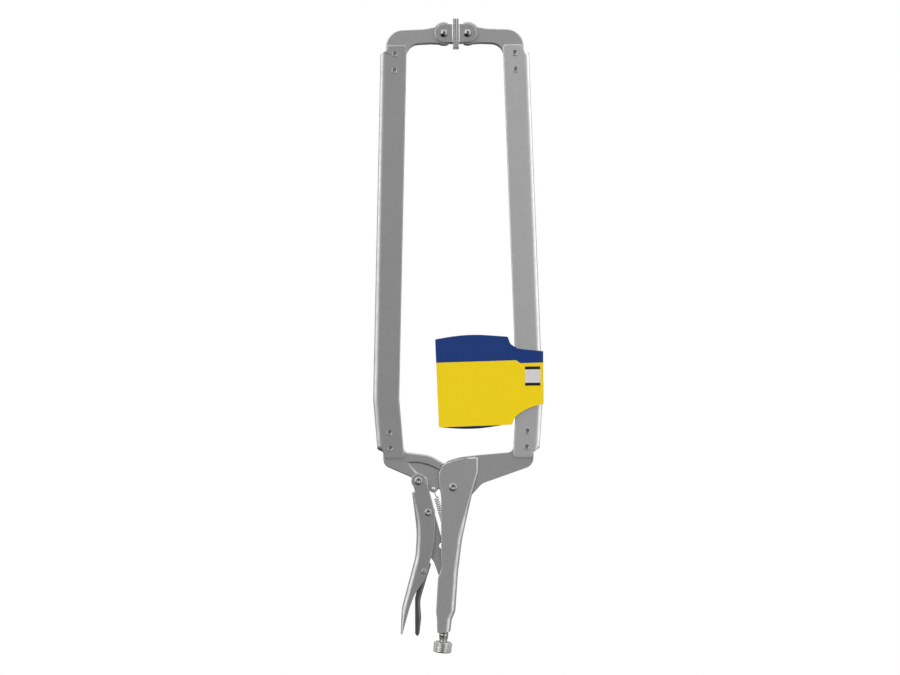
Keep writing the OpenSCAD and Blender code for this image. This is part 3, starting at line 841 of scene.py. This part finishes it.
rise_line = SPRING_HOLE - SPRING_ANCHOR
reach = rise_line.length
coil_low, coil_high = 6 * MM, reach - 10 * MM
winding = coil("winding", COIL_TURNS, COIL_R, coil_high - coil_low, WIRE_R, WIRE_SIDES,
               spring_steel)
winding.data.transform(Matrix.Translation((0, 0, coil_low)))
upper = wire("upper_hook", [
    (COIL_R, 0, coil_high), (COIL_R, 1 * MM, coil_high + 0.3 * MM),
    (0.6 * MM, 1.6 * MM, coil_high + 0.9 * MM), (0, 0, coil_high + 1.6 * MM),
    (0, -3.6 * MM, coil_high + 3.8 * MM),
    (0, FACE_Y - WIRE_R, coil_high + 5.4 * MM), (0, FACE_Y - WIRE_R, reach - 1.2 * MM),
    (0, FACE_Y - WIRE_R, reach + 0.4 * MM), (0, -3.8 * MM, reach + 0.7 * MM),
    (0, 0, reach + 0.6 * MM)], WIRE_R)
lower = wire("lower_hook", [
    (COIL_R, 0, coil_low), (COIL_R, 1 * MM, coil_low - 0.6 * MM),
    (0.4 * MM, 1 * MM, coil_low - 1.4 * MM), (0, 0, coil_low - 3 * MM), (0, 0, 0)], WIRE_R)
along_spring = Vector((0, 0, 1)).rotation_difference(rise_line.normalized())
spring = joined("return_spring_wound", [winding, upper, lower],
                Matrix.Translation(SPRING_ANCHOR) @ along_spring.to_matrix().to_4x4())
spring.data.materials.clear()
spring.data.materials.append(spring_steel)
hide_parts("return_spring")
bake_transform(spring)
print("spring is", round(reach / MM, 1), "mm long")

# %% [markdown]
# ## Card sleeve
# The clamp hangs in the shop in a folded board sleeve, printed on its outside only: a blue
# band over a yellow panel in front, and blue behind. The band steps down where the sleeve
# goes round the arm. A blank label is printed there, and there is no lettering. The back
# panel hangs a little lower than the front one, so a sliver of it shows underneath.

# %% Printed board
BAND_Z, BAND_SLOPE = -314.9 * MM, 0.0234
STEP_FROM, STEP_TO, STEP_DOWN = 54.9 * MM, 58.7 * MM, 3 * MM
LABEL_X, LABEL_Z, LABEL_WIDE, LABEL_HIGH, BAR_HIGH = (
    70.4 * MM, -328.9 * MM, 14.6 * MM, 18.4 * MM, 2.8 * MM)
INK_BLUE, INK_YELLOW, INK_BLACK, LABEL_WHITE = "#163574", "#eccd10", "#1e1b18", "#d0cecb"


def maths(tree, operation, *values):
    """The output of a maths node."""
    return add(tree, "ShaderNodeMath", dict(enumerate(values)), operation=operation).outputs[0]


def over(tree, mask, under, ink):
    """The colour ink where mask is 1, and the colour under elsewhere."""
    return add(tree, "ShaderNodeMix", {"Factor": mask, "A": under, "B": ink},
               data_type="RGBA").outputs[2]


GLOSS_PATCH, GLOSS_LOW, GLOSS_HIGH, BOARD_SPECULAR = 6 * MM, 0.38, 0.46, 0.22


def printed_board(name):
    """Coated board with a blue band, a yellow panel and a blank label, and a blue back."""
    material = bpy.data.materials.new(name)
    material.use_nodes = True
    tree = material.node_tree
    tree.nodes.clear()
    place = add(tree, "ShaderNodeTexCoord").outputs["Object"]
    parts = add(tree, "ShaderNodeSeparateXYZ", {0: place})
    x, y, z = parts.outputs
    step = add(tree, "ShaderNodeMapRange", {"Value": x, "From Min": STEP_FROM,
               "From Max": STEP_TO, "To Min": 0.0, "To Max": STEP_DOWN}).outputs[0]
    level = maths(tree, "ADD", maths(tree, "SUBTRACT", z, maths(tree, "MULTIPLY", x, BAND_SLOPE)),
                  step)
    band = maths(tree, "GREATER_THAN", level, BAND_Z)
    blue = maths(tree, "MAXIMUM", band, maths(tree, "GREATER_THAN", y, 0.0))
    tint = over(tree, blue, linear(INK_YELLOW), linear(INK_BLUE))
    front = maths(tree, "LESS_THAN", y, 0.0)
    across = maths(tree, "MULTIPLY", front, maths(tree, "COMPARE", x, LABEL_X, LABEL_WIDE / 2))
    label = maths(tree, "MULTIPLY", across, maths(tree, "COMPARE", z, LABEL_Z, LABEL_HIGH / 2))
    middle = maths(tree, "COMPARE", z, LABEL_Z, LABEL_HIGH / 2 - BAR_HIGH)
    bars = maths(tree, "MULTIPLY", label, maths(tree, "SUBTRACT", 1.0, middle))
    tint = over(tree, label, tint, linear(LABEL_WHITE))
    tint = over(tree, bars, tint, linear(INK_BLACK))
    fibre = add(tree, "ShaderNodeTexNoise", {"Vector": place, "Scale": 1 / GLOSS_PATCH,
                "Detail": 2.0}).outputs[0]
    gloss = add(tree, "ShaderNodeMapRange", {"Value": fibre, "From Min": 0.3, "From Max": 0.7,
                "To Min": GLOSS_LOW, "To Max": GLOSS_HIGH})
    shader = add(tree, "ShaderNodeBsdfPrincipled", {"Base Color": tint,
                 "Roughness": gloss.outputs[0], "Specular IOR Level": BOARD_SPECULAR})
    add(tree, "ShaderNodeOutputMaterial", {"Surface": shader.outputs[0]})
    return material


board = printed_board("printed_coated_board")
print("label is", round(LABEL_WIDE / MM, 1), "by", round(LABEL_HIGH / MM, 1), "mm")

# %% Folded sleeve
FOLD_X, FOLD_R, FOLD_INSIDE = 76 * MM, 2.4 * MM, 0.75
PANEL_LOW, PANEL_HIGH = Vector((-18.8 * MM, -377.4 * MM)), Vector((46 * MM, -375.3 * MM))
PEEK, PEEK_STEPS = 2.9 * MM, 24
BACK_LOW, BACK_HIGH = Vector((-30 * MM, 0.1 * MM)), Vector((46 * MM, 8.8 * MM))
BOARD = 0.6 * MM

sleeve = clean_copy("hang_card")
weight = sleeve.edges.layers.float.new("bevel_weight_edge")
for rim in sleeve.edges:
    normals = [face.normal for face in rim.link_faces]
    if min(v.co.x for v in rim.verts) > FOLD_X and len(normals) == 2:
        ahead, aside = (max(abs(n[i]) for n in normals) for i in (1, 0))
        if ahead > 0.9 and aside > 0.9:
            outside = abs(rim.verts[0].co.y) > BACK_HIGH.y + BOARD / 2
            rim[weight] = 1.0 if outside else FOLD_INSIDE

# The sliver of the back panel, from one end of the front panel's lower edge to the other
loop = []
for index in range(PEEK_STEPS + 1):
    share = index / PEEK_STEPS
    edge = PANEL_LOW.lerp(PANEL_HIGH, share)
    inner_y = BACK_LOW.lerp(BACK_HIGH, (edge.x - BACK_LOW.x) / (BACK_HIGH.x - BACK_LOW.x)).y
    loop.append((edge.x, inner_y, edge.y, edge.y - PEEK * math.sin(math.pi * share) - 0.05 * MM))
corners = [[sleeve.verts.new((x, y + out, z)) for out in (0, BOARD) for z in (top, foot)]
           for x, y, top, foot in loop]
for before, after in zip(corners, corners[1:]):
    for a, b in ((0, 1), (1, 3), (3, 2), (2, 0)):
        sleeve.faces.new((before[a], before[b], after[b], after[a]))
for end in (corners[0], corners[-1]):
    sleeve.faces.new((end[0], end[1], end[3], end[2]))
bmesh.ops.recalc_face_normals(sleeve, faces=sleeve.faces)

mesh = bpy.data.meshes.new("card_sleeve")
sleeve.to_mesh(mesh)
sleeve.free()
card = new_object("card_sleeve", mesh)
fold = card.modifiers.new("fold", "BEVEL")
fold.limit_method = "WEIGHT"
fold.width = FOLD_R
fold.segments = BEND_SEGMENTS
card = baked(card)
finish_piece(card, board, "fixed_frame", ["hang_card"])
print("sleeve has", len(card.data.polygons), "faces")
